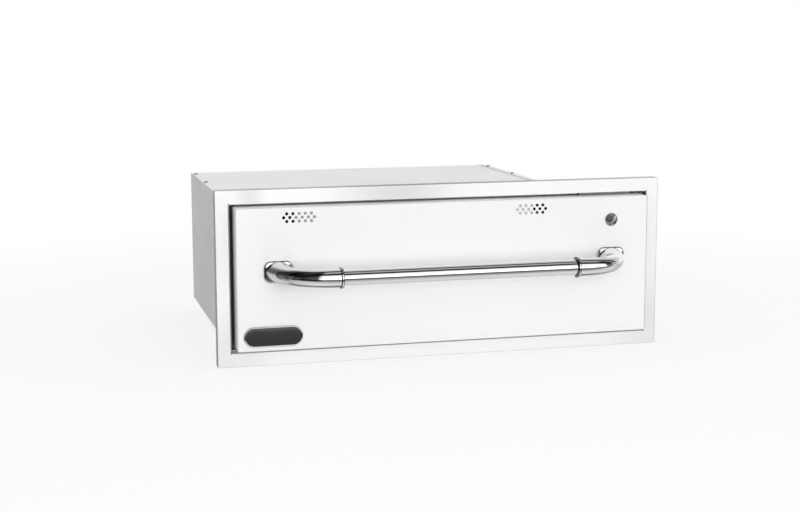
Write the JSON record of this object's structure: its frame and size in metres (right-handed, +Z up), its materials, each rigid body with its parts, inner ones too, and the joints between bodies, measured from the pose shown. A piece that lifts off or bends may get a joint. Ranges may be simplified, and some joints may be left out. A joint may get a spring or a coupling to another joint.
{
  "type": "built-in warming drawer",
  "caption": "Built-in electric warming drawer: insulated heated steel casing behind a trim frame, full-extension drawer with pan, bar handle, sliding vents and a thermostat knob.",
  "frame": {"origin": "centre of the cut-out it is built into, in the plane where the back of the trim bears on the cabinet face", "axes": "+X to the right seen from the front, +Y from the front to the back, +Z up; the drawer opens along -Y"},
  "size_m": [0.762, 0.6524, 0.2884],
  "materials": {
    "front_steel": "fine brushed stainless, bright",
    "casing_steel": "mill-finish stainless sheet",
    "liner_steel": "plain stainless sheet",
    "zinc_steel": "bright zinc-plated steel",
    "polished_steel": "mirror-polished stainless tube",
    "screw_steel": "stainless screw, machined",
    "element_sheath": "heat-tinted sheath",
    "copper": "drawn copper",
    "badge_enamel": "blank dark enamel",
    "smoked_lens": "smoked clear plastic",
    "pilot_plastic": "clear amber plastic",
    "knob_plastic": "moulded phenolic",
    "terminal_plastic": "moulded nylon",
    "gland_plastic": "moulded nylon",
    "seal_rubber": "silicone seal",
    "glass_wool": "bonded glass-fibre blanket"
  },
  "bodies": {
    "cabinet": {"trim_frame": "front_steel", "mounting_flange": "casing_steel", "casing_top": "casing_steel", "casing_bottom": "casing_steel", "casing_left_side": "casing_steel", "casing_right_side": "casing_steel", "casing_back": "casing_steel", "control_box": "casing_steel", "control_box_back": "casing_steel", "face_plate": "liner_steel", "control_panel": "liner_steel", "cavity_liner": "liner_steel", "element_guard": "liner_steel", "element_brackets": "liner_steel", "left_slide_outer": "zinc_steel", "right_slide_outer": "zinc_steel", "slide_rivets": "zinc_steel", "thermostat_body": "zinc_steel", "thermal_cutout": "zinc_steel", "casing_screws": "screw_steel", "control_screws": "screw_steel", "heating_element": "element_sheath", "thermostat_sensor": "copper", "indicator_lamp": "pilot_plastic", "terminal_block": "terminal_plastic", "cable_gland": "gland_plastic", "mouth_gasket": "seal_rubber", "insulation_left": "glass_wool", "insulation_right": "glass_wool", "insulation_top": "glass_wool", "insulation_bottom": "glass_wool", "insulation_back": "glass_wool"},
    "drawer": {"drawer_front": "front_steel", "front_inner_pan": "liner_steel", "front_insulation": "glass_wool", "vent_ducts": "liner_steel", "lamp_bezel": "polished_steel", "lamp_lens": "smoked_lens", "badge_rim": "polished_steel", "badge_plate": "badge_enamel", "handle_bar": "polished_steel", "left_handle_elbow": "polished_steel", "right_handle_elbow": "polished_steel", "handle_collars": "polished_steel", "handle_bases": "polished_steel", "handle_screws": "screw_steel", "left_drawer_rail": "liner_steel", "right_drawer_rail": "liner_steel", "drawer_rear_rail": "liner_steel", "drawer_pan": "liner_steel", "left_slide_inner": "zinc_steel", "right_slide_inner": "zinc_steel"},
    "slide_middles": {"left_slide_middle": "zinc_steel", "right_slide_middle": "zinc_steel"},
    "outer_cages": {"outer_ball_cages": "zinc_steel"},
    "inner_cages": {"inner_ball_cages": "zinc_steel"},
    "left_shutter": {"left_vent_shutter": "liner_steel"},
    "right_shutter": {"right_vent_shutter": "liner_steel"},
    "temperature_knob": {"thermostat_knob": "knob_plastic", "thermostat_shaft": "screw_steel"}
  },
  "joints": [
    {"name": "drawer_travel", "type": "slide", "parent": "cabinet", "child": "drawer", "axis": [0, -1, 0], "range_m": [0, 0.42]},
    {"name": "middle_travel", "type": "slide", "parent": "cabinet", "child": "slide_middles", "axis": [0, -1, 0], "range_m": [0, 0.21]},
    {"name": "outer_cage_travel", "type": "slide", "parent": "cabinet", "child": "outer_cages", "axis": [0, -1, 0], "range_m": [0, 0.105]},
    {"name": "inner_cage_travel", "type": "slide", "parent": "cabinet", "child": "inner_cages", "axis": [0, -1, 0], "range_m": [0, 0.315]},
    {"name": "left_vent_travel", "type": "slide", "parent": "drawer", "child": "left_shutter", "axis": [1, 0, 0], "range_m": [-0.022, 0.036]},
    {"name": "right_vent_travel", "type": "slide", "parent": "drawer", "child": "right_shutter", "axis": [1, 0, 0], "range_m": [-0.032, 0.027]},
    {"name": "knob_turn", "type": "hinge", "parent": "cabinet", "child": "temperature_knob", "pos_m": [0.2979, 0, -0.015], "axis": [0, 1, 0], "range_deg": [0, 270]}
  ],
  "couplings": [
    {"joint": "middle_travel", "follows": "drawer_travel", "ratio": 0.5},
    {"joint": "outer_cage_travel", "follows": "drawer_travel", "ratio": 0.25},
    {"joint": "inner_cage_travel", "follows": "drawer_travel", "ratio": 0.75}
  ]
}
